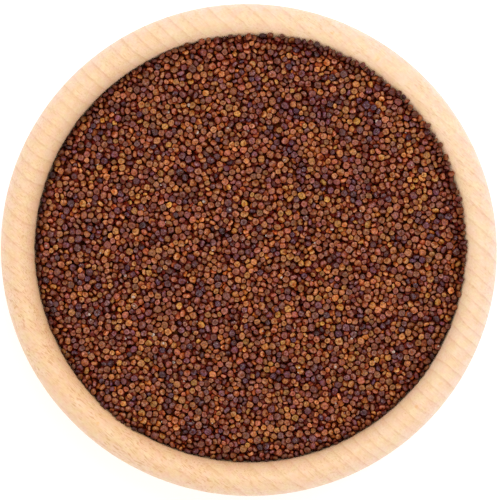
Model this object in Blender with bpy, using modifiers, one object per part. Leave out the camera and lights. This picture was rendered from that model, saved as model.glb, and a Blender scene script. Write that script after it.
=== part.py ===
"""A dish of quinoa: a thick-lipped turned wooden bowl, filled nearly level with dry quinoa.

Metres, +Z up.  The bowl stands on z = 0 and is turned about the Z axis; as its wood dried it has
become very slightly oval.  The quinoa is one solid: it follows the hollow of the bowl, and its
top is the uneven surface of a poured heap, which leans towards one side, is banked against the
wall in two places and falls away from it in two others.
"""

import math

import bmesh
import bpy
from mathutils import Vector, noise

# The bowl's driving sizes.
OUTER_RADIUS = 0.070            # at the widest line, just below the lip
HEIGHT = 0.050                  # from the foot to the top of the lip
LIP_WIDTH = 0.0093              # across the rounded lip, and so the wall's thickness there
LIP_RISE_OUTSIDE = 0.0050       # from the widest line up to the top of the lip
LIP_RISE_INSIDE = 0.0060        # from the narrowest line of the mouth up to the top of the lip
SIDE_ARC_RADIUS = 0.050         # the curve of the outside, from the widest line to the foot
FLOOR_THICKNESS = 0.0075        # at the middle, above the surface it stands on
FLOOR_RADIUS = 0.018            # the flat part of the floor inside
FOOT_EDGE_RADIUS = 0.0015       # the rounding between the side and the foot
RECESS_RADIUS = 0.030           # the shallow turned recess under the foot
RECESS_DEPTH = 0.0010
RECESS_EDGE = 0.0012            # the slope at the recess's rim
OVAL = 0.0051                   # how much longer one way, and shorter the other, than round
LONG_WAY = math.radians(-19.5)  # direction of the bowl's longest width

# The heap of quinoa.
GAP = 0.0003                    # kept between the heap and the wood
LEVEL = 0.0448                  # height of the heap's middle
LEAN = 0.0022                   # how much higher it lies at the wall on the side it leans to
LEAN_ANGLE = math.radians(45.0)
RIPPLE_HEIGHT = 0.00045         # gentle waves left by pouring and shaking
RIPPLE_LENGTH = 0.017
# Banks and hollows at the wall: angle, height and how far each spreads.
BANKS = (
    (math.radians(48.0), 0.0019, 0.050),
    (math.radians(231.0), 0.0038, 0.022),
    (math.radians(300.0), -0.0012, 0.022),
    (math.radians(142.0), -0.0010, 0.022),
)
EDGE_FOOT = 0.0405              # below this the heap fills the hollow all the way round

# How finely the round shapes are divided.
TURNS = 64                      # round the axis
FLOOR_STEPS = 2
WALL_STEPS = 10                 # up the inside, from the floor to the mouth
LIP_STEPS = 5                   # for each half of the lip
SIDE_STEPS = 8                  # down the outside
FOOT_EDGE_STEPS = 3
HEAP_RINGS = 12                 # from the middle of the heap's top to its edge
EDGE_STEPS = 4                  # up the wall, from EDGE_FOOT to the heap's top
MERGE_DISTANCE = 0.00001
SMOOTH_ANGLE = math.radians(40.0)

# Sizes that follow from these.
LIP_HALF = LIP_WIDTH / 2
LIP_RADIUS = OUTER_RADIUS - LIP_HALF          # the ring along the top of the lip
MOUTH_RADIUS = OUTER_RADIUS - LIP_WIDTH       # the narrowest line of the mouth
MOUTH_HEIGHT = HEIGHT - LIP_RISE_INSIDE
WIDEST_HEIGHT = HEIGHT - LIP_RISE_OUTSIDE


def clear_scene():
    for thing in list(bpy.data.objects):
        bpy.data.objects.remove(thing, do_unlink=True)


def part_collection(name):
    collection = bpy.data.collections.new(name)
    bpy.context.scene.collection.children.link(collection)
    return collection


def plain_material(name, color, roughness):
    material = bpy.data.materials.new(name)
    material.use_nodes = True
    shader = material.node_tree.nodes["Principled BSDF"]
    shader.inputs["Base Color"].default_value = (*color, 1.0)
    shader.inputs["Roughness"].default_value = roughness
    shader.inputs["Metallic"].default_value = 0.0
    material.diffuse_color = (*color, 1.0)
    return material


def arc(centre, radii, start, end, steps):
    """Points on an ellipse in the (radius, height) plane, from one angle to another."""
    points = []
    for step in range(steps + 1):
        angle = start + (end - start) * step / steps
        points.append((centre[0] + radii[0] * math.cos(angle), centre[1] + radii[1] * math.sin(angle)))
    return points


def inner_radius(height, gap=0.0):
    """Radius of the bowl's hollow at a height, a gap short of the wood."""
    above_mouth = height - MOUTH_HEIGHT
    if above_mouth > 0.0:
        share = above_mouth / (LIP_RISE_INSIDE + gap)
        return LIP_RADIUS - (LIP_HALF + gap) * math.sqrt(max(0.0, 1.0 - share * share))
    share = min(1.0, -above_mouth / (MOUTH_HEIGHT - FLOOR_THICKNESS - gap))
    return FLOOR_RADIUS + (MOUTH_RADIUS - gap - FLOOR_RADIUS) * math.sqrt(1.0 - share * share)


def bowl_profile():
    """From the middle of the floor up the inside, over the lip, down the side and under the foot."""
    quarter = math.pi / 2
    floor = [(FLOOR_RADIUS * step / FLOOR_STEPS, FLOOR_THICKNESS) for step in range(FLOOR_STEPS)]
    wall = arc(
        (FLOOR_RADIUS, MOUTH_HEIGHT),
        (MOUTH_RADIUS - FLOOR_RADIUS, MOUTH_HEIGHT - FLOOR_THICKNESS),
        -quarter, 0.0, WALL_STEPS,
    )
    lip_inside = arc((LIP_RADIUS, MOUTH_HEIGHT), (LIP_HALF, LIP_RISE_INSIDE), math.pi, quarter, LIP_STEPS)
    lip_outside = arc((LIP_RADIUS, WIDEST_HEIGHT), (LIP_HALF, LIP_RISE_OUTSIDE), quarter, 0.0, LIP_STEPS)
    side_centre = (OUTER_RADIUS - SIDE_ARC_RADIUS, WIDEST_HEIGHT)
    # The foot's edge is a small arc that touches both the side's arc and the foot's plane.
    reach = SIDE_ARC_RADIUS - FOOT_EDGE_RADIUS
    drop = WIDEST_HEIGHT - FOOT_EDGE_RADIUS
    edge_centre = (side_centre[0] + math.sqrt(reach ** 2 - drop ** 2), FOOT_EDGE_RADIUS)
    touch = -math.asin(drop / reach)
    side = arc(side_centre, (SIDE_ARC_RADIUS, SIDE_ARC_RADIUS), 0.0, touch, SIDE_STEPS)
    edge = arc(edge_centre, (FOOT_EDGE_RADIUS, FOOT_EDGE_RADIUS), touch, -quarter, FOOT_EDGE_STEPS)
    recess = [(RECESS_RADIUS, 0.0), (RECESS_RADIUS - RECESS_EDGE, RECESS_DEPTH), (0.0, RECESS_DEPTH)]
    return floor + wall + lip_inside[1:] + lip_outside[1:] + side[1:] + edge[1:] + recess


def heap_height(x, y):
    """Height of the quinoa's top over a point, before it is cut off by the wall."""
    lean = (x * math.cos(LEAN_ANGLE) + y * math.sin(LEAN_ANGLE)) / MOUTH_RADIUS
    height = LEVEL + LEAN * lean
    for angle, rise, spread in BANKS:
        distance = math.hypot(x - MOUTH_RADIUS * math.cos(angle), y - MOUTH_RADIUS * math.sin(angle))
        height += rise * math.exp(-(distance / spread) ** 2)
    return height + RIPPLE_HEIGHT * noise.noise(Vector((x, y, 0.0)) / RIPPLE_LENGTH)


def edge_height(angle):
    """Height at which the heap's top meets the wall, found by walking out along one angle."""
    height = LEVEL
    for _ in range(20):
        radius = inner_radius(height, GAP)
        height = heap_height(radius * math.cos(angle), radius * math.sin(angle))
    return height


def heap_profile():
    """A flat-topped plug of the hollow: across its top, down the wall and back along the floor."""
    rim = inner_radius(LEVEL, GAP)
    top = [(rim * step / HEAP_RINGS, LEVEL) for step in range(HEAP_RINGS)]
    edge = []
    for step in range(EDGE_STEPS):
        height = LEVEL + (EDGE_FOOT - LEVEL) * step / EDGE_STEPS
        edge.append((inner_radius(height, GAP), height))
    bottom = FLOOR_THICKNESS + GAP
    radii = (MOUTH_RADIUS - GAP - FLOOR_RADIUS, MOUTH_HEIGHT - bottom)
    edge_foot = -math.asin((MOUTH_HEIGHT - EDGE_FOOT) / radii[1])
    wall = arc((FLOOR_RADIUS, MOUTH_HEIGHT), radii, edge_foot, -math.pi / 2, WALL_STEPS)
    floor = [(FLOOR_RADIUS * (1 - step / FLOOR_STEPS), bottom) for step in range(1, FLOOR_STEPS + 1)]
    return top + edge + wall + floor


def turned(name, profile, collection):
    """An object whose profile, in the XZ plane, is turned once round the Z axis."""
    mesh = bpy.data.meshes.new(name)
    points = [(radius, 0.0, height) for radius, height in profile]
    edges = [(index, index + 1) for index in range(len(points) - 1)]
    mesh.from_pydata(points, edges, [])
    piece = bpy.data.objects.new(name, mesh)
    collection.objects.link(piece)
    screw = piece.modifiers.new("Turn", "SCREW")
    screw.axis = "Z"
    screw.angle = math.tau
    screw.steps = TURNS
    screw.render_steps = TURNS
    screw.use_merge_vertices = True
    screw.merge_threshold = MERGE_DISTANCE
    screw.use_smooth_shade = True
    return piece


def apply_modifiers(piece):
    graph = bpy.context.evaluated_depsgraph_get()
    solid = bpy.data.meshes.new_from_object(piece.evaluated_get(graph))
    old = piece.data
    piece.modifiers.clear()
    piece.data = solid
    solid.name = old.name
    bpy.data.meshes.remove(old)


def draw_in(piece):
    """Makes a round piece oval, as wood becomes when it shrinks across its grain."""
    along = Vector((math.cos(LONG_WAY), math.sin(LONG_WAY), 0.0))
    across = Vector((-math.sin(LONG_WAY), math.cos(LONG_WAY), 0.0))
    for point in piece.data.vertices:
        stretch = along * point.co.dot(along) - across * point.co.dot(across)
        point.co += OVAL * stretch


def settle(piece):
    """Shifts the flat-topped plug's points, across the top and up the wall, to the uneven top."""
    flat_rim = inner_radius(LEVEL, GAP)
    solid = bmesh.new()
    solid.from_mesh(piece.data)
    for point in solid.verts:
        if point.co.z < EDGE_FOOT + MERGE_DISTANCE:
            continue
        radius = math.hypot(point.co.x, point.co.y)
        angle = math.atan2(point.co.y, point.co.x)
        rim = edge_height(angle)
        if point.co.z > LEVEL - MERGE_DISTANCE:
            radius *= inner_radius(rim, GAP) / flat_rim
            height = heap_height(radius * math.cos(angle), radius * math.sin(angle))
        else:
            share = (point.co.z - EDGE_FOOT) / (LEVEL - EDGE_FOOT)
            height = EDGE_FOOT + (rim - EDGE_FOOT) * share
            radius = inner_radius(height, GAP)
        point.co = (radius * math.cos(angle), radius * math.sin(angle), height)
    solid.to_mesh(piece.data)
    solid.free()


def shade_round(piece):
    piece.data.shade_smooth()
    piece.data.set_sharp_from_angle(angle=SMOOTH_ANGLE)


def make_bowl(collection):
    bowl = turned("bowl", bowl_profile(), collection)
    apply_modifiers(bowl)
    draw_in(bowl)
    shade_round(bowl)
    bowl.data.materials.append(plain_material("pale_beech", (0.80, 0.58, 0.39), 0.55))
    return bowl


def make_quinoa(collection):
    quinoa = turned("quinoa", heap_profile(), collection)
    apply_modifiers(quinoa)
    settle(quinoa)
    draw_in(quinoa)
    shade_round(quinoa)
    quinoa.data.materials.append(plain_material("red_quinoa", (0.17, 0.06, 0.035), 0.60))
    return quinoa


def main():
    clear_scene()
    collection = part_collection("dish_of_quinoa")
    make_bowl(collection)
    make_quinoa(collection)


main()
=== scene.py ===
"""Looks of the dish of quinoa: a turned beech bowl with a heap of loose, mixed-colour seeds.

Metres, +Z up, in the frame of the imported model.  The bowl and the core of the heap are turned
shapes; the seeds are dropped one by one onto the core, each coming to rest on what lies below.
"""

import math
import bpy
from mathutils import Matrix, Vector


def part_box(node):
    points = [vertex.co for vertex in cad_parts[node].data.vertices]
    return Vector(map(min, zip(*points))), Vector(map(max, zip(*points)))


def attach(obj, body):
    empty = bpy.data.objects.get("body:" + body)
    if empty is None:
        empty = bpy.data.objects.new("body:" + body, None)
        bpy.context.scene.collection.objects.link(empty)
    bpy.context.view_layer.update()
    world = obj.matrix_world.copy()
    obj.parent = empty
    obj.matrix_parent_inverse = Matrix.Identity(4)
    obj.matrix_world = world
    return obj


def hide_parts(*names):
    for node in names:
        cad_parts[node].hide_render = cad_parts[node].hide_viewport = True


bl_info = {
    "name": "Dish of Quinoa",
    "version": (1, 0, 0),
    "blender": (4, 5, 0),
    "location": "View3D > Sidebar > Quinoa",
    "description": "Makes a turned wooden bowl filled with loose quinoa seeds",
    "category": "Add Mesh",
}

import bmesh
import bpy
import numpy as np
from bpy.props import FloatProperty, FloatVectorProperty, IntProperty, PointerProperty
from mathutils import Vector, noise
from mathutils.bvhtree import BVHTree

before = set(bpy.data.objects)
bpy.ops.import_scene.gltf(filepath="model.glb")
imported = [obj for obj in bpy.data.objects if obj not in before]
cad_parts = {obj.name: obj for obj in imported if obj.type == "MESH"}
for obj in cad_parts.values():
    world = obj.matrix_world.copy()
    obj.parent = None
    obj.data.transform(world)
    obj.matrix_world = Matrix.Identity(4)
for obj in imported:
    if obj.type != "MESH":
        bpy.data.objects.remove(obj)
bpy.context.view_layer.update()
BOWL_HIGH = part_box("bowl")[1]   # the corner of the bowl's box where X, Y and Z are greatest

BODY = "root"
UV_MAP = "OFBake"
UP = Vector((0.0, 0.0, 1.0))
MERGE_DISTANCE = 0.00000001
HAIR = 0.00001                  # a hundredth of a millimetre, which makes no difference

# Small gum spots in the wood of the lip: angle from +X, and how far in from the outer edge.
GUM_SPOTS = (
    (math.radians(-43.0), 0.0053),
    (math.radians(-131.0), 0.0053),
    (math.radians(-35.0), 0.0040),
    (math.radians(69.0), 0.0045),
    (math.radians(56.0), 0.0050),
)


# ---------------------------------------------------------------- sizes and colours


class BowlSizes(bpy.types.PropertyGroup):
    lip_width: FloatProperty(
        name="Lip width", description="Across the rounded lip", default=0.0093, unit="LENGTH"
    )
    lip_rise_inside: FloatProperty(
        name="Lip rise inside",
        description="From the narrowest line of the mouth up to the top of the lip",
        default=0.0060, unit="LENGTH",
    )
    lip_rise_outside: FloatProperty(
        name="Lip rise outside",
        description="From the widest line up to the top of the lip",
        default=0.0050, unit="LENGTH",
    )
    side_radius: FloatProperty(
        name="Side radius", description="Curve of the outside", default=0.050, unit="LENGTH"
    )
    floor_thickness: FloatProperty(
        name="Floor thickness", description="Of the wood at the middle", default=0.0075, unit="LENGTH"
    )
    floor_radius: FloatProperty(
        name="Floor radius", description="Of the flat floor inside", default=0.018, unit="LENGTH"
    )
    foot_edge: FloatProperty(
        name="Foot edge", description="Rounding between the side and the foot", default=0.0015,
        unit="LENGTH",
    )
    recess_radius: FloatProperty(
        name="Recess radius", description="Of the shallow recess under the foot", default=0.030,
        unit="LENGTH",
    )
    recess_depth: FloatProperty(
        name="Recess depth", description="Of the recess under the foot", default=0.0010, unit="LENGTH"
    )
    recess_edge: FloatProperty(
        name="Recess edge", description="Width of the slope at the recess's rim", default=0.0012,
        unit="LENGTH",
    )
    long_way: FloatProperty(
        name="Long way", description="Direction in which the bowl has stayed longest, from +X",
        subtype="ANGLE", default=math.radians(-19.5),
    )
    segments: IntProperty(name="Segments", description="Round the axis", default=256)


class WoodLook(bpy.types.PropertyGroup):
    pale: FloatVectorProperty(
        name="Pale side", description="Wood on the paler side of the board", subtype="COLOR",
        default=(0.905, 0.672, 0.480),
    )
    warm: FloatVectorProperty(
        name="Warm side", description="Wood on the warmer side of the board", subtype="COLOR",
        default=(0.882, 0.602, 0.378),
    )
    pale_way: FloatProperty(
        name="Pale way", description="Direction of the paler side, from +X", subtype="ANGLE",
        default=math.radians(35.0),
    )
    line: FloatVectorProperty(
        name="Year line", description="Share of the light that the end of each year keeps",
        default=(0.90, 0.81, 0.77),
    )
    fleck: FloatVectorProperty(
        name="Flecks", description="Share of the light that the short dark rays keep",
        default=(0.82, 0.70, 0.58),
    )
    grain_angle: FloatProperty(
        name="Grain angle", description="Direction of the grain, from +X", subtype="ANGLE",
        default=math.radians(-41.0),
    )
    year_spacing: FloatProperty(
        name="Year spacing", description="Between one year line and the next", default=0.0033,
        unit="LENGTH",
    )
    swirl_angle: FloatProperty(
        name="Swirl angle", description="Where on the lip the grain runs round a bud", subtype="ANGLE",
        default=math.radians(-158.0),
    )
    swirl_width: FloatProperty(
        name="Swirl width", description="Of the grain's swirl round the bud", default=0.009,
        unit="LENGTH",
    )
    spot_size: FloatProperty(
        name="Spot size", description="Reach of a gum spot from its middle", default=0.0010,
        unit="LENGTH",
    )
    # How far below the mouth the painted light on the lip's slopes fades out.
    painted_light_fade: FloatProperty(
        name="Rim fade", description="Depth below the mouth over which the rim's tints fade",
        default=0.015, unit="LENGTH",
    )
    roughness: FloatProperty(name="Roughness", description="Of the sanded wood", default=0.52)


class HeapSettings(bpy.types.PropertyGroup):
    seed_width: FloatProperty(
        name="Seed width", description="Mean width of a seed", default=0.00194, unit="LENGTH"
    )
    depth: FloatProperty(
        name="Depth", description="How deep the loose seeds lie on the core", default=0.0026,
        unit="LENGTH",
    )
    tries: IntProperty(name="Tries", description="Seeds dropped, kept or not", default=26000)
    places: IntProperty(
        name="Places", description="Places and tilts that each seed tries", default=36
    )
    flakes: IntProperty(name="Flakes", description="Of husk among the seeds", default=110)
    random_seed: IntProperty(name="Random seed", description="Of the heap", default=11)


class SeedColors(bpy.types.PropertyGroup):
    gold: FloatVectorProperty(
        name="Gold", description="Palest seeds", subtype="COLOR", default=(0.480, 0.190, 0.052)
    )
    amber: FloatVectorProperty(
        name="Amber", description="Warm brown seeds", subtype="COLOR", default=(0.400, 0.149, 0.050)
    )
    red_brown: FloatVectorProperty(
        name="Red-brown", description="Commonest seeds", subtype="COLOR", default=(0.350, 0.120, 0.048)
    )
    rose: FloatVectorProperty(
        name="Rose", description="Dusty rose-brown seeds", subtype="COLOR",
        default=(0.287, 0.094, 0.050),
    )
    maroon: FloatVectorProperty(
        name="Maroon", description="Dull purplish-brown seeds", subtype="COLOR",
        default=(0.221, 0.071, 0.050),
    )
    dark: FloatVectorProperty(
        name="Dark", description="Dark, purplish-grey seeds", subtype="COLOR",
        default=(0.152, 0.048, 0.052),
    )
    black: FloatVectorProperty(
        name="Black", description="Nearly black seeds", subtype="COLOR", default=(0.084, 0.028, 0.040)
    )
    husk: FloatVectorProperty(
        name="Husk", description="Pale flakes of husk", subtype="COLOR",
        default=(0.560, 0.430, 0.360),
    )
    # Dark, a painted shade for the seeds deeper in the heap.
    core: FloatVectorProperty(
        name="Core", description="The heap below the loose seeds", subtype="COLOR",
        default=(0.135, 0.022, 0.005),
    )


class StageSettings(bpy.types.PropertyGroup):
    camera_height: FloatProperty(
        name="Camera height", description="Above the lip", default=0.80, unit="LENGTH"
    )
    camera_shift: FloatProperty(
        name="Camera shift", description="Along X, from above the bowl's middle", default=0.00034,
        unit="LENGTH",
    )
    view_width: FloatProperty(
        name="View width", description="Seen across the picture, at the lip's widest line",
        default=0.1417, unit="LENGTH",
    )
    floor_size: FloatProperty(
        name="Floor size", description="Across the floor", default=3.0, unit="LENGTH"
    )
    floor_color: FloatVectorProperty(
        name="Floor colour", description="Of the plain floor", subtype="COLOR",
        default=(0.90, 0.90, 0.90),
    )
    floor_glow: FloatProperty(
        name="Floor glow", description="Strength of the floor's own faint light", default=0.32
    )
    sky: FloatProperty(name="Sky", description="Strength of the light all round", default=0.90)
    lamp_power: FloatProperty(
        name="Lamp power", description="Of the overhead lamp, in watts", default=2.0
    )
    lamp_size: FloatProperty(
        name="Lamp size", description="Across the square lamp", default=0.30, unit="LENGTH"
    )
    lamp_place: FloatVectorProperty(
        name="Lamp place", description="Of the overhead lamp, which faces the bowl's foot",
        subtype="TRANSLATION", unit="LENGTH", default=(0.09, 0.20, 0.83),
    )


# ---------------------------------------------------------------- materials


class Wire:
    """A node's output, which can be used in expressions that add Math nodes."""

    def __init__(self, graph, socket):
        self.graph = graph
        self.socket = socket

    def __add__(self, other):
        return self.graph.math("ADD", self, other)

    def __radd__(self, other):
        return self.graph.math("ADD", other, self)

    def __sub__(self, other):
        return self.graph.math("SUBTRACT", self, other)

    def __rsub__(self, other):
        return self.graph.math("SUBTRACT", other, self)

    def __mul__(self, other):
        return self.graph.math("MULTIPLY", self, other)

    def __rmul__(self, other):
        return self.graph.math("MULTIPLY", other, self)

    def __truediv__(self, other):
        return self.graph.math("DIVIDE", self, other)

    def __pow__(self, other):
        return self.graph.math("POWER", self, other)


class Graph:
    """The nodes of one material, round its Principled shader."""

    def __init__(self, name):
        self.material = bpy.data.materials.new(name)
        self.material.use_nodes = True
        self.tree = self.material.node_tree
        self.shader = self.tree.nodes["Principled BSDF"]

    def node(self, kind, settings=None, inputs=None, output=0):
        """Adds a node: its settings first, then the values or wires of its sockets."""
        node = self.tree.nodes.new(kind)
        for name, value in (settings or {}).items():
            setattr(node, name, value)
        for key, value in (inputs or {}).items():
            self.set(node.inputs[key], value)
        return Wire(self, node.outputs[output])

    def set(self, socket, value):
        if isinstance(value, Wire):
            self.tree.links.new(value.socket, socket)
        elif socket.type == "RGBA":
            socket.default_value = (*value[:3], 1.0)
        else:
            socket.default_value = value

    def math(self, operation, *values):
        return self.node("ShaderNodeMath", {"operation": operation}, dict(enumerate(values)))

    def step(self, value, low, high):
        """0 below low, 1 above high and a smooth rise between them."""
        return self.node(
            "ShaderNodeMapRange", {"interpolation_type": "SMOOTHSTEP"},
            {"Value": value, "From Min": low, "From Max": high},
        )

    def mix(self, factor, first, second, blend_type="MIX"):
        """A mix of two colours."""
        settings = {"data_type": "RGBA", "blend_type": blend_type}
        return self.node("ShaderNodeMix", settings, {0: factor, 6: first, 7: second}, output=2)

    def tinted(self, factor, color, tint):
        """A colour multiplied by a tint, as far as the factor goes."""
        return self.mix(factor, color, tint, "MULTIPLY")

    def dimmed(self, color, share):
        """A colour of which a share of the light is kept."""
        inputs = {"Vector": color, "Scale": share}
        return self.node("ShaderNodeVectorMath", {"operation": "SCALE"}, inputs)

    def place(self):
        """Object coordinates, in metres."""
        return self.node("ShaderNodeTexCoord", output=3)

    def vector(self, operation, *values, output=0):
        return self.node(
            "ShaderNodeVectorMath", {"operation": operation}, dict(enumerate(values)), output=output
        )

    def level(self, place):
        """A place with its height left out."""
        return self.vector("MULTIPLY", place, (1.0, 1.0, 0.0))

    def length(self, vector):
        return self.vector("LENGTH", vector, output=1)

    def distance(self, first, second):
        return self.vector("DISTANCE", first, second, output=1)

    def coordinate(self, vector, axis):
        """One part of a vector: 0 for X, 1 for Y and 2 for Z."""
        return self.node("ShaderNodeSeparateXYZ", {}, {0: vector}, output=axis)

    def mapped(self, place, rotation=(0.0, 0.0, 0.0), scale=(1.0, 1.0, 1.0)):
        inputs = {"Vector": place, "Rotation": rotation, "Scale": scale}
        return self.node("ShaderNodeMapping", {}, inputs)

    def noise(self, place, scale, detail=2.0, roughness=0.5):
        inputs = {"Vector": place, "Scale": scale, "Detail": detail, "Roughness": roughness}
        return self.node("ShaderNodeTexNoise", {}, inputs)

    def patches(self, place, scale, low, high, detail=2.0, roughness=0.5):
        """Soft-edged patches of 0 and 1: a noise, stepped between two of its values."""
        return self.step(self.noise(place, scale, detail, roughness), low, high)

    def attribute(self, name, output):
        return self.node("ShaderNodeAttribute", {"attribute_name": name}, {}, output)

    def bump(self, height, strength, distance):
        inputs = {"Height": height, "Strength": strength, "Distance": distance}
        return self.node("ShaderNodeBump", {}, inputs)

    def finish(self, looks):
        """Feeds the shader's sockets, given by name, and returns the material."""
        for name, value in looks.items():
            self.set(self.shader.inputs[name], value)
        return self.material


# Tints of the marks in the wood, which its colour is multiplied by.
MOTTLE_TINT = (0.97, 0.94, 0.92)
BLUSH_TINT = (1.01, 0.945, 0.935)
STRAW_TINT = (0.98, 1.01, 0.88)
FIBRE_TINT = (0.95, 0.92, 0.89)
GUM_TINT = (0.96, 0.85, 0.62)
# Painted light on the lip's slopes, as tints: its inner slope lighter, the same slope ruddier where the
# grain runs along it, and its outer slope lighter and paler.
INNER_SLOPE_PAINTED_LIGHT = (1.13, 1.12, 1.17)
INNER_SLOPE_ALONG_GRAIN_TINT = (1.00, 0.92, 0.80)
OUTER_SLOPE_PAINTED_LIGHT = (1.05, 1.13, 1.37)


def towards(angle):
    """A level vector of length 1, at an angle from +X."""
    return Vector((math.cos(angle), math.sin(angle), 0.0))


def year_lines(graph, look, bowl, place, along, square):
    """Year lines: each year darkens slowly and ends in a thin line, and some run round a bud."""
    drift = graph.noise(graph.mapped(along, scale=(10.0, 34.0, 34.0)), 1.0)
    kinks = graph.noise(graph.mapped(along, scale=(90.0, 160.0, 160.0)), 1.0)
    away = graph.distance(graph.level(place), towards(look.swirl_angle) * bowl.lip_radius)
    swirl = 1.0 - graph.step(away, 0.0, look.swirl_width)
    side = graph.coordinate(along, 1) + graph.coordinate(along, 2) * 0.03
    years = side / look.year_spacing + (drift - 0.5) * 3.0
    years = years + (kinks - 0.5) * 0.35 + swirl * 1.5
    part = graph.math("FRACT", years)
    year = {"W": graph.math("FLOOR", years)}
    strength = graph.node("ShaderNodeTexWhiteNoise", {"noise_dimensions": "1D"}, year)
    late = graph.step(part, 0.30, 0.92)
    thin = graph.step(part, 0.76, 0.88)
    end = 1.0 - graph.step(part, 0.94, 1.0)
    break_up = graph.patches(place, 380.0, 0.36, 0.60)
    line = (late * (0.35 + 0.15 * square) + 0.60 * thin * square) * end
    return line * (0.50 + 0.50 * strength) * (0.65 + 0.35 * break_up)


def ray_flecks(graph, place, along, square, paleness):
    """Short dark dashes in groves, fainter where the rim cuts the grain and on the paler side."""
    rays = graph.mapped(along, scale=(520.0, 3200.0, 3200.0))
    dashes = graph.patches(rays, 1.0, 0.57, 0.63, detail=1.0)
    grove = graph.patches(place, 130.0, 0.34, 0.60)
    return dashes * (0.25 + 0.75 * grove) * (1.45 - square) * (1.25 - 0.75 * paleness)


def lip_with_painted_light(graph, color, look, bowl, place, square):
    """The wood's colour with painted light: the two slopes of the lip a little brighter than its top.
    """
    across = (graph.length(graph.level(place)) - bowl.lip_radius) / bowl.half
    height = graph.coordinate(place, 2)
    rim = graph.step(height, bowl.mouth_height - look.painted_light_fade, bowl.mouth_height)
    outwards = graph.math("MAXIMUM", across, 0.0)
    inwards = graph.math("MINIMUM", across, 0.0)
    inner = rim * inwards * inwards
    color = graph.tinted(inner, color, INNER_SLOPE_PAINTED_LIGHT)
    color = graph.tinted(inner * (1.0 - square) * 1.3, color, INNER_SLOPE_ALONG_GRAIN_TINT)
    # Painted light on the outer slope: lighter and paler towards the outer edge.
    return graph.tinted(rim * outwards ** 1.5, color, OUTER_SLOPE_PAINTED_LIGHT)


def beech(look, bowl):
    """Pale sanded beech: thin year lines, fine fibres, short dark rays and a few gum spots."""
    graph = Graph("pale_beech")
    place = graph.place()
    along = graph.mapped(place, rotation=(0.0, 0.0, -look.grain_angle))
    # The grain is plain where the rim cuts it square, and faint where it runs along the rim.
    square = 0.25 + 0.75 * graph.math("ABSOLUTE", graph.coordinate(along, 0)) / bowl.lip_radius
    pale_side = graph.vector("DOT_PRODUCT", place, towards(look.pale_way), output=1)
    paleness = pale_side / (2.0 * bowl.outer) + 0.5
    line = year_lines(graph, look, bowl, place, along, square)
    fleck = ray_flecks(graph, place, along, square, paleness)
    mottle = graph.patches(place, 1300.0, 0.32, 0.68)
    blush = graph.patches(place, 290.0, 0.38, 0.62, roughness=0.6)
    mirrored = graph.mapped(place, scale=(1.0, -1.0, 1.0))
    straw = graph.patches(mirrored, 360.0, 0.38, 0.62, roughness=0.6)
    fibre = graph.noise(graph.mapped(along, scale=(420.0, 2800.0, 2800.0)), 1.0, 3.0, 0.6)

    color = graph.mix(paleness, look.warm, look.pale)
    color = graph.tinted(line, color, look.line)
    color = graph.tinted(fleck, color, look.fleck)
    color = graph.tinted(mottle, color, MOTTLE_TINT)
    color = graph.tinted(blush, color, BLUSH_TINT)
    color = graph.tinted(straw, color, STRAW_TINT)
    color = graph.tinted(graph.step(fibre, 0.32, 0.68), color, FIBRE_TINT)
    for angle, inwards in GUM_SPOTS:
        near = graph.distance(graph.level(place), towards(angle) * (bowl.outer - inwards))
        spot = 1.0 - graph.step(near, look.spot_size * 0.2, look.spot_size)
        color = graph.tinted(spot * (0.4 + 0.6 * mottle), color, GUM_TINT)
    return graph.finish({
        "Base Color": lip_with_painted_light(graph, color, look, bowl, place, square),
        "Roughness": look.roughness + (fibre - 0.5) * 0.25,
        "Normal": graph.bump(fibre - fleck * 0.5, 0.25, 0.00004),
    })


# Tints between which the seeds of one kind vary, and those of the painted shade at their edges in gaps
# and beside the lip.
PINK_TINT = (1.08, 0.85, 1.10)
STRAW_SEED_TINT = (0.93, 1.20, 0.80)
GAP_SHADE_TINT = (0.95, 0.52, 0.13)
LIP_TINT = (1.06, 0.86, 0.72)
SPECK_AND_GLINT_COLOR = (0.40, 0.33, 0.33)
LIP_SHADE = 0.72                # share of the light that the lip takes from the seeds beside it
LIP_SHADE_LOSS = 0.30           # how much less it takes where they lie high
LIP_SHADE_LOW = 0.0050          # how far below the top of the lip they lie low
LIP_SHADE_HIGH = 0.0015         # and how far below it they lie high
LIP_SHADE_EDGE = 0.0006         # how far in from the lip its shade is full
LIP_SHADE_REACH = 0.0070        # how far in from there it reaches
LIP_SHADE_POWER = 7.0           # how steeply it falls off


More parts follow.
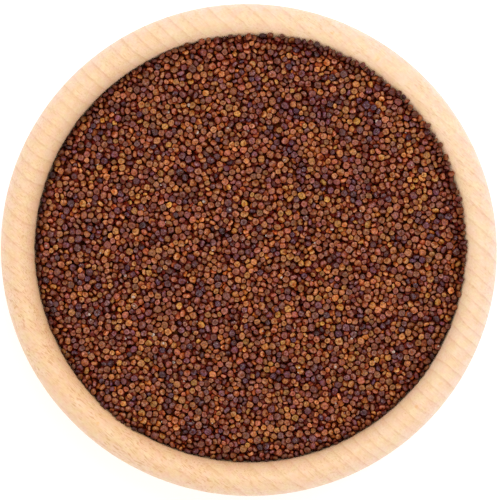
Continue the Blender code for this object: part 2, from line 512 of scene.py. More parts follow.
def seed_face(graph, place, color, warmth, speck_and_glint_share):
    """A seed's face: cooler and warmer patches, a pale ring of dusty bloom and painted sheen round a
    darker eye, and pale flecks, partly painted glints.
    """
    red, green, blue = color
    cool = (red * 0.97, green * 0.92, blue * 1.45)
    warm = (red * 1.03, green * 1.07, blue * 0.62)
    eye = (red * 0.62, green * 0.50, blue * 0.26)
    # A paler, whiter veil: partly dusty bloom, partly painted sheen.
    dust_and_sheen_color = (red * 1.20 + 0.105, green * 1.20 + 0.094, blue * 1.20 + 0.10)
    ringed = graph.math("FRACT", warmth * 9.0)
    wander = graph.noise(place, 1100.0, 1.0)
    from_eye = graph.length(graph.level(graph.attribute("on_seed", 1)))
    ring = graph.step(from_eye + (wander - 0.5) * 0.6, 0.36, 0.62)
    patch = graph.patches(place, 1900.0, 0.38, 0.62, detail=1.0)
    dust_and_sheen = graph.patches(place, 2600.0, 0.40, 0.62, detail=1.0)
    # Pale flecks: the coat's own, and on the darker kinds painted glints as well.
    speck_and_glint = graph.patches(place, 3300.0, 0.62, 0.70, detail=1.0)
    face = graph.mix(patch, cool, warm)
    face = graph.tinted(1.0, face, graph.mix(warmth, PINK_TINT, STRAW_SEED_TINT))
    face = graph.mix((1.0 - ring) * (0.10 + 0.65 * ringed), face, eye)
    face = graph.mix(dust_and_sheen * (0.14 + 0.50 * ring * ringed), face, dust_and_sheen_color)
    return graph.mix(speck_and_glint * speck_and_glint_share, face, SPECK_AND_GLINT_COLOR)


def lip_nearness(graph, place, bowl):
    """1 for seeds at the lip, falling off steeply to 0 for those away from it."""
    edge = bowl.mouth_radius - LIP_SHADE_EDGE
    inside = (edge - graph.length(graph.level(place))) / LIP_SHADE_REACH
    return (1.0 - graph.math("MINIMUM", graph.math("MAXIMUM", inside, 0.0), 1.0)) ** LIP_SHADE_POWER


def seed_coat(name, color, roughness, speck_and_glint_share, bowl):
    """Dry seed coat: each seed's own tone, fine mottling, dark painted shade where it lies in gaps and
    creases, and the lip's painted shade.
    """
    graph = Graph(name)
    place = graph.place()
    gap_shade = graph.attribute("gap_shade", 2)
    # Painted shade: points deep in gaps and creases turn reddish, then nearly black-red.
    deep = (0.088 + color[0] * 0.12, color[1] * 0.05, color[2] * 0.01)
    base = seed_face(graph, place, color, graph.attribute("warmth", 2), speck_and_glint_share)
    base = graph.tinted(graph.step(gap_shade, 0.0, 0.45) * 0.9, base, GAP_SHADE_TINT)
    base = graph.mix(graph.step(gap_shade, 0.20, 0.90) * 0.97, base, deep)
    # Seeds close to the lip lie in its reddish shade, most of all those well below its top.
    nearness = lip_nearness(graph, place, bowl)
    height = graph.coordinate(place, 2)
    raised = graph.step(height, bowl.top - LIP_SHADE_LOW, bowl.top - LIP_SHADE_HIGH)
    lip_shade = 1.0 - (LIP_SHADE - LIP_SHADE_LOSS * raised) * nearness
    base = graph.tinted(nearness, base, LIP_TINT)
    mottle = graph.patches(place, 2100.0, 0.32, 0.68, roughness=0.7)
    shade = (0.54 + 0.78 * graph.attribute("tone", 2)) * (0.53 + 0.94 * mottle) * lip_shade
    return graph.finish({
        "Base Color": graph.dimmed(base, shade),
        "Roughness": roughness,
        "Specular IOR Level": 0.15,
        "Normal": graph.bump(mottle, 0.35, 0.00006),
    })


def husk_coat(name, color):
    """Pale husk, dusty and thin, with dark flecks of what lies below."""
    graph = Graph(name)
    place = graph.place()
    tint = graph.patches(place, 900.0, 0.35, 0.65, detail=1.0)
    fleck = graph.patches(place, 2600.0, 0.44, 0.60, roughness=0.7)
    warm = (color[0], color[1] * 0.84, color[2] * 0.72)
    fleck_color = (0.07, 0.045, 0.04)
    base = graph.mix(tint * 0.6, color, warm)
    base = graph.mix(fleck * (0.85 - 0.6 * graph.attribute("tone", 2)), base, fleck_color)
    return graph.finish({
        "Base Color": base,
        "Roughness": 0.45,
        "Normal": graph.bump(fleck, 0.4, 0.00008),
    })


def core_painted_shade(color):
    """The seeds below as a dark bed of painted shade, with seed-sized patches darker towards their
    edges.
    """
    graph = Graph("quinoa_core")
    cells = {"Vector": graph.place(), "Scale": CORE_CELLS}
    from_middle = graph.node("ShaderNodeTexVoronoi", {}, cells, output=0)
    tint = graph.node("ShaderNodeTexVoronoi", {}, cells, output=1)
    base = graph.mix(0.30, color, tint, "SOFT_LIGHT")
    return graph.finish({
        "Base Color": graph.dimmed(base, 1.25 - graph.step(from_middle, 0.1, 0.7)),
        "Roughness": 0.8,
        "Specular IOR Level": 0.0,
        "Normal": graph.bump(1.0 - from_middle, 0.8, 0.0004),
    })


# ---------------------------------------------------------------- shapes


# Steps of the arcs in the bowl's profile.
WALL_STEPS = 24
LIP_STEPS = 16
SIDE_STEPS = 24
EDGE_STEPS = 6


def arc(centre, radii, start, end, steps):
    """Points on an ellipse in the (radius, height) plane, from one angle to another."""
    points = []
    for step in range(steps + 1):
        angle = start + (end - start) * step / steps
        points.append((centre[0] + radii[0] * math.cos(angle), centre[1] + radii[1] * math.sin(angle)))
    return points


def turned(profile, segments):
    """A closed bmesh: a (radius, height) profile with both its ends on the axis, spun once."""
    solid = bmesh.new()
    points = [solid.verts.new((radius, 0.0, height)) for radius, height in profile]
    chain = [solid.edges.new(pair) for pair in zip(points, points[1:])]
    bmesh.ops.spin(
        solid, geom=points + chain, cent=(0.0, 0.0, 0.0), axis=UP, angle=math.tau,
        steps=segments, use_merge=True,
    )
    bmesh.ops.remove_doubles(solid, verts=solid.verts, dist=MERGE_DISTANCE)
    bmesh.ops.recalc_face_normals(solid, faces=solid.faces)
    return solid


def add_piece(name, mesh, material):
    piece = bpy.data.objects.new(name, mesh)
    bpy.context.scene.collection.objects.link(piece)
    mesh.materials.append(material)
    mesh.shade_smooth()
    return piece


def piece_from(name, solid, material):
    mesh = bpy.data.meshes.new(name)
    solid.to_mesh(mesh)
    solid.free()
    return add_piece(name, mesh, material)


class BowlShape:
    """The bowl's measures, from the frame's box and the sizes."""

    def __init__(self, sizes):
        self.outer = (BOWL_HIGH.x + BOWL_HIGH.y) / 2
        self.top = BOWL_HIGH.z
        self.oval = (BOWL_HIGH.x - BOWL_HIGH.y) / (2 * self.outer * math.cos(2 * sizes.long_way))
        self.half = sizes.lip_width / 2
        self.lip_radius = self.outer - self.half
        self.mouth_radius = self.outer - sizes.lip_width
        self.mouth_height = self.top - sizes.lip_rise_inside
        self.widest_height = self.top - sizes.lip_rise_outside
        self.sizes = sizes

    def drawn_in(self, x, y):
        """Where a point of the round bowl lies since the wood has dried and become oval."""
        cosine, sine = math.cos(self.sizes.long_way), math.sin(self.sizes.long_way)
        along = self.oval * (x * cosine + y * sine)
        across = self.oval * (y * cosine - x * sine)
        return x + along * cosine + across * sine, y + along * sine - across * cosine

    def draw_in(self, solid):
        for point in solid.verts:
            point.co.x, point.co.y = self.drawn_in(point.co.x, point.co.y)

    def wood_height(self, radius):
        """Height of the lip's surface over an array of radii; below the mouth's edge there is none."""
        sizes = self.sizes
        offset = (radius - self.lip_radius) / self.half
        bend = np.sqrt(np.clip(1.0 - offset ** 2, 0.0, 1.0))
        inside = self.mouth_height + sizes.lip_rise_inside * bend
        outside = self.widest_height + sizes.lip_rise_outside * bend
        height = np.where(radius < self.lip_radius, inside, outside)
        return np.where(radius < self.mouth_radius, -1.0, height)

    def inner_radius(self, height, gap):
        """Radius of the hollow at a height, a gap short of the wood."""
        sizes = self.sizes
        above = height - self.mouth_height
        if above > 0.0:
            share = min(1.0, above / (sizes.lip_rise_inside + gap))
            return self.lip_radius - (self.half + gap) * math.sqrt(1.0 - share * share)
        share = min(1.0, -above / (self.mouth_height - sizes.floor_thickness - gap))
        reach = self.mouth_radius - gap - sizes.floor_radius
        return sizes.floor_radius + reach * math.sqrt(1.0 - share * share)

    def profile(self):
        """Up the inside from the middle of the floor, over the lip, down the side, under the foot."""
        sizes = self.sizes
        quarter = math.pi / 2
        floor = [(0.0, sizes.floor_thickness), (sizes.floor_radius / 2, sizes.floor_thickness)]
        radii = (self.mouth_radius - sizes.floor_radius, self.mouth_height - sizes.floor_thickness)
        wall = arc((sizes.floor_radius, self.mouth_height), radii, -quarter, 0.0, WALL_STEPS)
        inside = arc(
            (self.lip_radius, self.mouth_height), (self.half, sizes.lip_rise_inside),
            math.pi, quarter, LIP_STEPS,
        )
        outside = arc(
            (self.lip_radius, self.widest_height), (self.half, sizes.lip_rise_outside),
            quarter, 0.0, LIP_STEPS,
        )
        side_centre = (self.outer - sizes.side_radius, self.widest_height)
        reach = sizes.side_radius - sizes.foot_edge
        drop = self.widest_height - sizes.foot_edge
        edge_centre = (side_centre[0] + math.sqrt(reach ** 2 - drop ** 2), sizes.foot_edge)
        touch = -math.asin(drop / reach)
        side = arc(side_centre, (sizes.side_radius, sizes.side_radius), 0.0, touch, SIDE_STEPS)
        edge = arc(edge_centre, (sizes.foot_edge, sizes.foot_edge), touch, -quarter, EDGE_STEPS)
        recess = [
            (sizes.recess_radius, 0.0),
            (sizes.recess_radius - sizes.recess_edge, sizes.recess_depth),
            (0.0, sizes.recess_depth),
        ]
        return floor + wall + inside[1:] + outside[1:] + side[1:] + edge[1:] + recess


# ---------------------------------------------------------------- the heap


GRID_STEP = 0.00011             # of the height map that the seeds rest on
GRID_REACH = 0.066              # from the middle to the map's edge
GRID_MARGIN = 0.0025            # kept free of seeds along the map's edge
COARSE_STEP = 0.0015            # between the points where the heap's top is read from the frame
EDGE_SEARCH = 0.0002            # step inwards in the search for the heap's edge
LEVEL_SLACK = 0.00022           # how far a seed may stand above the heap's level
LIP_SLACK = 0.0009              # and how much farther where it lies against the lip
LIP_TOP_GAP = 0.0005            # and how far below the top of the lip it stays
STEEP_SLACK = 0.5               # and as a share of what a steep seed rises above a flat one
LIP_STEEP_SLACK = 0.8           # the same share beside the lip
# The painted shade in gaps and creases: how far a point lies below its neighbours sets how dark its
# colour is painted.
GAP_REACH = 0.00055             # how near its neighbours' tops must be for a point to lie in a gap
GAP_DEPTH = 0.0018              # depth below them at which a gap is darkest
CREASE_REACH = 0.00033          # how near others must be for a point to lie in a crease
CREASE_DEPTH = 0.00034          # depth below their mean height at which a crease is darkest

# The core: the gap between it and the wood, its divisions and the relief of the seeds in it.
CORE_GAP = 0.0004
CORE_RINGS = 56
CORE_SIDE_STEPS = 14
CORE_SEGMENTS = 200
CORE_GRAIN = 0.0019
CORE_RELIEF = 0.0007
CORE_CELLS = 520.0              # painted seeds in a metre

# Seeds: widths as shares of the mean, and how often each occurs.
WIDTHS = (0.74, 0.84, 0.92, 1.00, 1.07, 1.15)
WIDTH_SHARES = (0.10, 0.16, 0.21, 0.24, 0.19, 0.10)
# How a seed may lie: the tilt of its face, and how often it is tried.
TILTS = (0.0, 9.0, 18.0, 28.0, 40.0, 55.0, 72.0, 90.0)
TILT_SHARES = (0.08, 0.15, 0.17, 0.16, 0.14, 0.12, 0.10, 0.08)
# Beside the lip, which stands them up.
LIP_TILT_SHARES = (0.02, 0.04, 0.08, 0.14, 0.20, 0.22, 0.18, 0.12)
LIP_TILT_REACH = 0.0035
LOOKS = 5                       # spots looked at, of which the lowest is where a seed is dropped
COMPASS = 16                    # directions of a tilt
SHIFT_SPREAD = 0.6              # of the places it tries round there, in half-widths
SHOWN_CELLS = 6                 # a seed that shows in more cells than this is kept
KEPT_DEPTH = 0.0014             # and so is one that lies no deeper than this in the heap
# One seed's profile as (radius, height) in half-widths: the eye, the ridge, the edge, the back.
SEED_PROFILE = ((0.0, 0.40), (0.50, 0.50), (0.82, 0.34), (0.98, 0.03), (0.80, -0.40), (0.0, -0.50))
SEED_SIDES = 10
SEED_SHAPES = 10
UNDERSIDE = -0.05               # height of a face's middle below which it belongs to the back
BEAK_WIDTH = 0.45               # of the beak on a seed's edge, in radians
FACE_DOWN = 0.40                # share of the seeds that lie on their faces
THICKNESSES = (0.90, 1.03)      # least and most, as shares of the profile's
TONE_EVENNESS = 2.4             # how closely the seeds' tones keep to the middle one
SQUEEZE = 1.10                  # how much wider a seed is than the room it takes among the others
CLUSTER = 2.16                  # how far like seeds lie together, against chance
CLUSTER_SIZE = 0.0035
MAP_REACH = 0.42                # of a seed's half-width, as a share of its cell in the map
# Flakes of husk: a thin disc's profile, their half-widths and how far they lean.
FLAKE_PROFILE = ((0.0, 0.10), (0.9, 0.05), (1.0, 0.0), (0.0, -0.10))
FLAKE_SIDES = 7
FLAKE_HALF_WIDTHS = (0.00015, 0.00056)
FLAKE_LEAN = 0.5


class SurfaceMap:
    """A square grid of cells over the bowl, and how far each is from the middle."""

    def __init__(self, mouth_radius):
        self.mouth_radius = mouth_radius
        count = 2 * int(GRID_REACH / GRID_STEP) + 1
        self.axis = (np.arange(count) - count // 2) * GRID_STEP
        self.radius = np.hypot(*np.meshgrid(self.axis, self.axis, indexing="ij"))

    def cells(self, points):
        """Rows and columns of the cells that hold an array of points."""
        rows, columns = np.rint(points[:, :2].T / GRID_STEP).astype(int) + len(self.axis) // 2
        return rows, columns


def heap_tops(bowl):
    """Heights of the CAD heap's top on a coarse grid, with its rim's height carried on outwards."""
    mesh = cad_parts["quinoa"].data
    corners = [vertex.co.copy() for vertex in mesh.vertices]
    tree = BVHTree.FromPolygons(corners, [tuple(face.vertices) for face in mesh.polygons])
    steps = int(GRID_REACH / COARSE_STEP) + 1
    axis = np.arange(-steps, steps + 1) * COARSE_STEP
    tops = np.zeros((len(axis), len(axis)))
    for row, x in enumerate(axis):
        for column, y in enumerate(axis):
            out = max(math.hypot(x, y), HAIR)
            reach = min(out, bowl.lip_radius)
            hit = None
            while hit is None:
                start = Vector((*bowl.drawn_in(x * reach / out, y * reach / out), bowl.top * 2))
                hit = tree.ray_cast(start, -UP)[0]
                reach -= EDGE_SEARCH
            tops[row, column] = hit.z
    return axis, tops


def spread_over(coarse_axis, coarse, grid):
    """The coarse heights, interpolated over the fine grid."""
    along = np.array([np.interp(grid.axis, coarse_axis, row) for row in coarse])
    return np.array([np.interp(grid.axis, coarse_axis, column) for column in along.T]).T


def seed_points(profile, rings=14, turns=44):
    """Points all over the seed's surface, in half-widths."""
    radii, heights = np.array(profile).T
    along = np.linspace(0, len(radii) - 1, (len(radii) - 1) * rings + 1)
    radii = np.interp(along, np.arange(len(radii)), radii)
    heights = np.interp(along, np.arange(len(heights)), heights)
    angles = np.linspace(0.0, math.tau, turns, endpoint=False)
    around, out = np.meshgrid(angles, radii)
    points = np.stack((out * np.cos(around), out * np.sin(around)), -1)
    return np.concatenate((points, np.repeat(heights[:, None, None], turns, 1)), -1).reshape(-1, 3)


def turn_to(normal, spin):
    """The axes, as columns, of a seed whose face looks along normal, turned about it by spin."""
    helper = np.where(abs(normal[..., :1]) < 0.9, (1.0, 0.0, 0.0), (0.0, 1.0, 0.0))
    first = np.cross(normal, helper)
    first /= np.linalg.norm(first, axis=-1, keepdims=True)
    second = np.cross(normal, first)
    cosine, sine = np.cos(spin)[..., None], np.sin(spin)[..., None]
    return np.stack((cosine * first + sine * second, cosine * second - sine * first, normal), -1)


class Stamp:
    """Heights of a seed's top and underside over the grid, for one width and one way of lying."""

    def __init__(self, half_width, normal, points):
        axes = turn_to(np.array(normal), np.array(0.0))
        placed = points @ axes.T * half_width
        self.reach = int(half_width / GRID_STEP) + 1
        side = 2 * self.reach + 1
        rows = np.rint(placed[:, 0] / GRID_STEP).astype(int) + self.reach
        columns = np.rint(placed[:, 1] / GRID_STEP).astype(int) + self.reach
        self.top = np.full((side, side), -np.inf)
        self.under = np.full((side, side), np.inf)
        np.maximum.at(self.top, (rows, columns), placed[:, 2])
        np.minimum.at(self.under, (rows, columns), placed[:, 2])
        self.rise = self.top.max()
        self.normal = normal
        self.half_width = half_width


def make_stamps(half_width, points):
    """All the ways a seed of one width may lie, listed by tilt."""
    stamps = []
    for tilt in TILTS:
        lying = []
        for turn in range(COMPASS if tilt else 1):
            angle = math.tau * turn / COMPASS
            slope = math.radians(tilt)
            normal = (
                math.sin(slope) * math.cos(angle), math.sin(slope) * math.sin(angle), math.cos(slope),
            )
            lying.append(Stamp(half_width, normal, points))
        stamps.append(lying)
    return stamps


def window_round(row, column, reach):
    """The square of cells within reach of one."""
    return slice(row - reach, row + reach + 1), slice(column - reach, column + reach + 1)


def lowest_place(start, lying, turns, shifts, surface):
    """The lowest of the places that a seed tries: its height, stamp, row and column."""
    best = None
    last = len(surface) - 1
    for turn, shift in zip(turns, shifts):
        stamp = lying[turn]
        row = min(max(start[0] + shift[0], stamp.reach), last - stamp.reach)
        column = min(max(start[1] + shift[1], stamp.reach), last - stamp.reach)
        window = window_round(row, column, stamp.reach)
        height = float((surface[window] - stamp.under).max())
        if best is None or height < best[0]:
            best = (height, stamp, row, column)
    return best


def drop_seeds(settings, grid, level, surface):
    """Drops seeds one by one; each settles in the lowest of the places it tries.

    Returns a row for each seed, (x, y, z, half width, normal), and the map of which seed is seen
    from above at each cell.
    """
    rng = np.random.default_rng(settings.random_seed)
    points = seed_points(SEED_PROFILE)
    half = settings.seed_width / 2
    stamps = [make_stamps(half * width, points) for width in WIDTHS]
    seen = np.full(surface.shape, -1, int)
    seeds = []
    against_lip = np.clip((grid.radius - grid.mouth_radius) / half + 1.0, 0.0, 1.0)
    highest = level + LEVEL_SLACK + LIP_SLACK * against_lip
    ceiling = BOWL_HIGH.z - LIP_TOP_GAP
    inside = np.argwhere((grid.radius < GRID_REACH - GRID_MARGIN) & (surface < level))
    for _ in range(settings.tries):
        width = rng.choice(len(WIDTHS), p=WIDTH_SHARES)
        spots = inside[rng.integers(0, len(inside), LOOKS)]
        cells = (spots[:, 0], spots[:, 1])
        start = spots[np.argmin(surface[cells] - level[cells])]
        by_lip = grid.radius[start[0], start[1]] > grid.mouth_radius - LIP_TILT_REACH
        lying = stamps[width][rng.choice(len(TILTS), p=LIP_TILT_SHARES if by_lip else TILT_SHARES)]
        turns = rng.integers(0, len(lying), settings.places)
        spread = half * SHIFT_SPREAD / GRID_STEP
        shifts = rng.normal(0.0, spread, (settings.places, 2)).astype(int)
        height, stamp, row, column = lowest_place(start, lying, turns, shifts, surface)
        steep = (LIP_STEEP_SLACK if by_lip else STEEP_SLACK) * (stamp.rise - stamp.half_width / 2)
        if height + stamp.rise > min(highest[row, column] + steep, ceiling):
            continue
        window = window_round(row, column, stamp.reach)
        top = stamp.top + height
        higher = top > surface[window]
        surface[window][higher] = top[higher]
        seen[window][higher] = len(seeds)
        seeds.append((grid.axis[row], grid.axis[column], height, stamp.half_width, *stamp.normal))
    return np.array(seeds), seen


def slid(values, reach, pick):
    """Each cell's pick, such as the highest, among the cells within reach along both axes."""
    for axis in (0, 1):
        values = pick.reduce([np.roll(values, shift, axis) for shift in range(-reach, reach + 1)])
    return values


def mean_near(heights, reach):
    return slid(heights, reach, np.add) / (reach * 2 + 1) ** 2


def near_heights(surface, seen):
    """Over the grid, how high the tops of the nearest seeds are, and the mean height close by."""
    reach = round(GAP_REACH / GRID_STEP)
    heights = np.where(seen >= 0, surface, surface.min())
    tops = mean_near(slid(heights, reach, np.maximum), reach // 2)
    return tops, mean_near(heights, round(CREASE_REACH / GRID_STEP))


def keep_shown(seeds, seen, grid, level):
    """The seeds that can be seen: those that show from above, and those near the top."""
    shows = np.bincount(seen[seen >= 0], minlength=len(seeds)) > SHOWN_CELLS
    near = seeds[:, 2] > level[grid.cells(seeds)] - KEPT_DEPTH
    return seeds[shows | near]


# ---------------------------------------------------------------- seed meshes


def seed_shape(rng, profile, sides):
    """One seed in half-widths: a blunt disc with a ridge round its eye and a slight beak."""
    solid = turned(profile, sides)
    oval = rng.uniform(0.78, 1.0)
    beak = rng.uniform(0.02, 0.15)
    phase = rng.uniform(0.0, math.tau, 3)
    facets = rng.uniform(0.03, 0.11)
    dent = rng.uniform(-0.10, 0.05)
    for point in solid.verts:
        x, y, z = point.co
        angle = math.atan2(y, x)
        out = math.hypot(x, y)
        from_beak = math.remainder(angle - phase[0], math.tau)
        swell = 1.0 + beak * math.exp(-(from_beak / BEAK_WIDTH) ** 2)
        swell += facets * (math.cos(4.0 * angle + phase[1]) + 0.7 * math.cos(3.0 * angle + phase[2]))
        if z > 0.0:
            z += dent * (1.0 - out) ** 2 + 0.05 * math.cos(2.0 * angle + phase[1]) * out
        point.co = (x * swell, y * swell * oval, z)
    return solid


class SeedShape:
    """The arrays of one seed shape: its points, its faces' corners and which are on its back."""

    def __init__(self, rng, profile=SEED_PROFILE, sides=SEED_SIDES):
        solid = seed_shape(rng, profile, sides)
        solid.verts.ensure_lookup_table()
        self.points = np.array([point.co for point in solid.verts])
        corners, starts, halves = [], [], []
        for face in solid.faces:
            starts.append(len(corners))
            corners.extend(point.index for point in face.verts)
            below = face.calc_center_median().z < UNDERSIDE
            halves.extend([below] * len(face.verts))
        solid.free()
        self.corners = np.array(corners)
        self.starts = np.array(starts)
        self.halves = np.array(halves)


def core_profile(bowl, rim, edge):
    """From the middle of the core's top out to its rim, and down the hollow to the floor."""
    sizes = bowl.sizes
    low = sizes.floor_thickness + CORE_GAP
    radii = (bowl.mouth_radius - CORE_GAP - sizes.floor_radius, bowl.mouth_height - low)
    start = -math.asin((bowl.mouth_height - rim) / radii[1])
    top = [(edge * step / CORE_RINGS, rim) for step in range(CORE_RINGS)]
    centre = (sizes.floor_radius, bowl.mouth_height)
    return top + arc(centre, radii, start, -math.pi / 2, CORE_SIDE_STEPS) + [(0.0, low)]


class Heap:
    """The finished heap: the tops and mean heights of its seeds, and the bowl that it lies in."""

    def __init__(self, bowl, grid, surface, tops, means):
        self.bowl = bowl
        self.grid = grid
        self.surface = surface
        self.tops = tops
        self.means = means

    def flakes(self, count, rng):
        """Rows like those of the seeds, for the flakes that lie on them, most of them small."""
        inside = np.argwhere(self.grid.radius < self.bowl.mouth_radius - FLAKE_HALF_WIDTHS[1])
        rows, columns = inside[rng.integers(0, len(inside), count)].T
        x, y = self.grid.axis[rows], self.grid.axis[columns]
        smallest, largest = FLAKE_HALF_WIDTHS
        halves = smallest + (largest - smallest) * rng.random(count) ** 2
        heights = np.minimum(self.surface[rows, columns], BOWL_HIGH.z - LIP_TOP_GAP) + GRID_STEP
        lean = rng.normal(0.0, FLAKE_LEAN, (count, 2))
        normals = np.stack((lean[:, 0], lean[:, 1], np.ones(count)), -1)
        normals /= np.linalg.norm(normals, axis=1, keepdims=True)
        return np.column_stack((x, y, heights, halves, normals))

    def gap_shade(self, points):
        """How much painted shade a point gets: 0 at the heap's surface, 1 deep in the gaps and creases.
        """
        cells = self.grid.cells(points)
        gap = (self.tops[cells] - points[:, 2]) / GAP_DEPTH
        crease = (self.means[cells] - points[:, 2]) / CREASE_DEPTH
        return np.clip(np.maximum(gap, 0.0) + np.maximum(crease, 0.0), 0.0, 1.0)

    def drawn_in(self, points):
        x, y = self.bowl.drawn_in(points[:, 0], points[:, 1])
        return np.stack((x, y, points[:, 2]), -1)


def pick_kinds(seeds, shares, rng):
    """Each seed's kind, in the given shares, with like kinds lying slightly together."""
    drift = [noise.noise(Vector(seed[:3]) / CLUSTER_SIZE) for seed in seeds]
    order = np.argsort(np.argsort(rng.normal(0.0, 1.0, len(seeds)) + CLUSTER * np.array(drift)))
    return np.searchsorted(np.cumsum(shares)[:-1], order / len(seeds), side="right")


def mesh_from(name, points, corners, starts):
    """A mesh from arrays: its points, its faces' corners and where each face's corners start."""
    mesh = bpy.data.meshes.new(name)
    mesh.vertices.add(len(points))
    mesh.vertices.foreach_set("co", points.ravel())
    mesh.loops.add(len(corners))
    mesh.loops.foreach_set("vertex_index", corners.astype(np.int32))
    mesh.polygons.add(len(starts))
    mesh.polygons.foreach_set("loop_start", starts.astype(np.int32))
    mesh.update(calc_edges=True)
    return mesh


def join_seeds(name, seeds, shapes, heap, rng):
    """One mesh of many seeds, with each one's tone and places, and a map cell for each of its sides."""
    count = len(seeds)
    which = rng.integers(0, len(shapes), count)
    flip = rng.choice((-1.0, 1.0), count, p=(FACE_DOWN, 1.0 - FACE_DOWN))
    axes = turn_to(seeds[:, 4:7] * flip[:, None], rng.uniform(0.0, math.tau, count))
    thick = rng.uniform(*THICKNESSES, count)
    tone = rng.beta(TONE_EVENNESS, TONE_EVENNESS, count)
    warmth = rng.random(count)
    chosen = [shapes[number] for number in which]
    side = math.ceil(math.sqrt(2 * count))
    points, corners, starts, maps = [], [], [], []
    point_count = corner_count = 0
    for index, shape in enumerate(chosen):
        local = shape.points * (1.0, 1.0, thick[index])
        points.append(local * seeds[index, 3] * SQUEEZE @ axes[index].T + seeds[index, :3])
        corners.append(shape.corners + point_count)
        starts.append(shape.starts + corner_count)
        cell = 2 * index + shape.halves
        spot = shape.points[shape.corners][:, :2] * MAP_REACH + 0.5
        maps.append((np.stack((cell % side, cell // side), -1) + spot) / side)
        point_count += len(local)
        corner_count += len(shape.corners)
    points = np.concatenate(points)
    mesh = mesh_from(name, heap.drawn_in(points), np.concatenate(corners), np.concatenate(starts))
    sizes = [len(shape.points) for shape in chosen]
    values = {
        "tone": np.repeat(tone, sizes),
        "warmth": np.repeat(warmth, sizes),
        # painted shade, by how far each point lies down in the gaps and creases
        "gap_shade": heap.gap_shade(points),
    }
    for title, numbers in values.items():
        mesh.attributes.new(title, "FLOAT", "POINT").data.foreach_set("value", numbers)
    places = np.concatenate([shape.points for shape in chosen])
    own = mesh.attributes.new("on_seed", "FLOAT_VECTOR", "POINT")
    own.data.foreach_set("vector", places.ravel())
    layer = mesh.uv_layers.new(name=UV_MAP)
    layer.uv.foreach_set("vector", np.concatenate(maps).astype(np.float32).ravel())
    mesh.validate()
    return mesh


# ---------------------------------------------------------------- operators


class QUINOA_OT_make_bowl(bpy.types.Operator):
    """Turns the wooden bowl, in place of the plain one"""

    bl_idname = "quinoa.make_bowl"
    bl_label = "Make Bowl"

    def execute(self, context):
        shape = BowlShape(context.scene.quinoa_bowl)
        solid = turned(shape.profile(), shape.sizes.segments)
        shape.draw_in(solid)
        bowl = piece_from("turned_bowl", solid, beech(context.scene.quinoa_wood, shape))
        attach(bowl, BODY)
        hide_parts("bowl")
        return {"FINISHED"}


class QUINOA_OT_make_heap(bpy.types.Operator):
    """Makes the heap: a core in the bowl's hollow, and loose seeds that lie on it"""

    bl_idname = "quinoa.make_heap"
    bl_label = "Make Heap"

    def execute(self, context):
        settings = context.scene.quinoa_heap
        colors = context.scene.quinoa_colors
        bowl = BowlShape(context.scene.quinoa_bowl)
        grid = SurfaceMap(bowl.mouth_radius)
        level = spread_over(*heap_tops(bowl), grid)
        core_top = level - settings.depth
        self.make_core(bowl, grid, core_top, colors.core)
        surface = np.maximum(core_top, bowl.wood_height(grid.radius))
        surface[grid.radius >= bowl.outer] = bowl.top * 2
        seeds, seen = drop_seeds(settings, grid, level, surface)
        if not len(seeds):
            raise RuntimeError("no seed found a place in the bowl")
        seeds = keep_shown(seeds, seen, grid, level)
        heap = Heap(bowl, grid, surface, *near_heights(surface, seen))
        self.make_seeds(seeds, heap, colors, settings.flakes, settings.random_seed)
        return {"FINISHED"}

    def make_core(self, bowl, grid, core_top, color):
        """The heap below the loose seeds, with the relief of the seeds that lie there."""
        rim = float(core_top.min())
        edge = bowl.inner_radius(rim, CORE_GAP)
        solid = turned(core_profile(bowl, rim, edge), CORE_SEGMENTS)
        top = [point for point in solid.verts if point.co.z > rim - HAIR]
        rows, columns = grid.cells(np.array([point.co for point in top]))
        for point, level in zip(top, core_top[rows, columns]):
            near = noise.voronoi(point.co / CORE_GRAIN)[0][0]
            height = level - CORE_RELIEF * min(1.0, near)
            out = math.hypot(point.co.x, point.co.y)
            widen = bowl.inner_radius(height, CORE_GAP) / edge if out > HAIR else 1.0
            point.co = (point.co.x * widen, point.co.y * widen, height)
        bowl.draw_in(solid)
        core = piece_from("quinoa_core", solid, core_painted_shade(color))
        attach(core, BODY)
        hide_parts("quinoa")

    def make_seeds(self, seeds, heap, colors, flake_count, random_seed):
        """The loose seeds, one piece for each kind of coat, and the flakes of husk among them."""
        rng = np.random.default_rng(random_seed + 1)
        shapes = [SeedShape(rng) for _ in range(SEED_SHAPES)]
        # Each kind: its name, share, colour, roughness, and how strong its pale flecks are, which on
        # the darker kinds are partly painted glints.
        kinds = (
            ("seeds_gold", 0.06, colors.gold, 0.45, 0.0),
            ("seeds_amber", 0.16, colors.amber, 0.50, 0.1),
            ("seeds_red_brown", 0.23, colors.red_brown, 0.50, 0.1),
            ("seeds_rose", 0.20, colors.rose, 0.50, 0.2),
            ("seeds_maroon", 0.16, colors.maroon, 0.48, 0.3),
            ("seeds_dark", 0.13, colors.dark, 0.42, 0.5),
            ("seeds_black", 0.06, colors.black, 0.38, 0.6),
        )
        chosen = pick_kinds(seeds, [kind[1] for kind in kinds], rng)
        for index, (name, _, color, roughness, speck_and_glint_share) in enumerate(kinds):
            coat = seed_coat(name, tuple(color), roughness, speck_and_glint_share, heap.bowl)
            self.add_seeds(name, seeds[chosen == index], shapes, coat, heap, rng)
        flakes = [SeedShape(rng, FLAKE_PROFILE, FLAKE_SIDES) for _ in range(SEED_SHAPES)]
        coat = husk_coat("husk_flakes", tuple(colors.husk))
        self.add_seeds("husk_flakes", heap.flakes(flake_count, rng), flakes, coat, heap, rng)

    def add_seeds(self, name, seeds, shapes, coat, heap, rng):
        piece = add_piece(name, join_seeds(name, seeds, shapes, heap, rng), coat)
        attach(piece, BODY)
        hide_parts("quinoa")


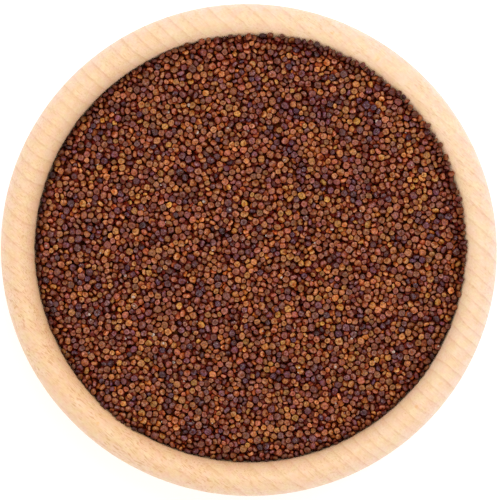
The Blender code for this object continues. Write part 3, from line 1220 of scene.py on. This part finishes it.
class QUINOA_OT_make_stage(bpy.types.Operator):
    """Sets the pale floor, the soft light and the camera above the bowl"""

    bl_idname = "quinoa.make_stage"
    bl_label = "Make Stage"

    def execute(self, context):
        settings = context.scene.quinoa_stage
        self.make_floor(settings)
        self.make_light(context.scene, settings)
        self.make_camera(context.scene, settings, context.scene.quinoa_bowl.lip_rise_outside)
        return {"FINISHED"}

    def make_floor(self, settings):
        solid = bmesh.new()
        bmesh.ops.create_grid(solid, x_segments=1, y_segments=1, size=settings.floor_size / 2)
        paint = Graph("pale_floor").finish({
            "Base Color": settings.floor_color,
            "Roughness": 0.8,
            "Emission Color": (1.0, 1.0, 1.0),
            "Emission Strength": settings.floor_glow,
        })
        floor = piece_from("floor", solid, paint)

    def make_light(self, scene, settings):
        world = bpy.data.worlds.new("soft_white")
        world.use_nodes = True
        sky = world.node_tree.nodes["Background"]
        sky.inputs["Color"].default_value = (1.0, 1.0, 1.0, 1.0)
        sky.inputs["Strength"].default_value = settings.sky
        scene.world = world
        lamp = bpy.data.lights.new("overhead", "AREA")
        lamp.energy = settings.lamp_power
        lamp.size = settings.lamp_size
        holder = bpy.data.objects.new("overhead", lamp)
        holder.location = settings.lamp_place
        holder.rotation_euler = Vector(holder.location).to_track_quat("Z", "Y").to_euler()
        scene.collection.objects.link(holder)
        scene.view_settings.view_transform = "Standard"

    def make_camera(self, scene, settings, widest_depth):
        """A camera straight above, whose picture is view_width across at the lip's widest line."""
        camera = bpy.data.cameras.new("above")
        distance = settings.camera_height + widest_depth
        camera.lens = camera.sensor_width * distance / settings.view_width
        holder = bpy.data.objects.new("above", camera)
        holder.location = (settings.camera_shift, 0.0, BOWL_HIGH.z + settings.camera_height)
        scene.collection.objects.link(holder)
        scene.camera = holder


class QUINOA_PT_dish(bpy.types.Panel):
    """Lists the pieces of the dish"""

    bl_label = "Dish of Quinoa"
    bl_space_type = "VIEW_3D"
    bl_region_type = "UI"
    bl_category = "Quinoa"

    def draw(self, context):
        column = self.layout.column(align=True)
        for operator in OPERATORS:
            column.operator(operator.bl_idname)


OPERATORS = (QUINOA_OT_make_bowl, QUINOA_OT_make_heap, QUINOA_OT_make_stage)
GROUPS = {
    "quinoa_bowl": BowlSizes,
    "quinoa_wood": WoodLook,
    "quinoa_heap": HeapSettings,
    "quinoa_colors": SeedColors,
    "quinoa_stage": StageSettings,
}


def register():
    for thing in (*GROUPS.values(), *OPERATORS, QUINOA_PT_dish):
        bpy.utils.register_class(thing)
    for name, group in GROUPS.items():
        setattr(bpy.types.Scene, name, PointerProperty(type=group))


def unregister():
    for name in GROUPS:
        delattr(bpy.types.Scene, name)
    for thing in (QUINOA_PT_dish, *OPERATORS, *GROUPS.values()):
        bpy.utils.unregister_class(thing)


def main():
    register()
    bpy.ops.quinoa.make_bowl()
    bpy.ops.quinoa.make_heap()
    bpy.ops.quinoa.make_stage()


if __name__ == "__main__":
    main()
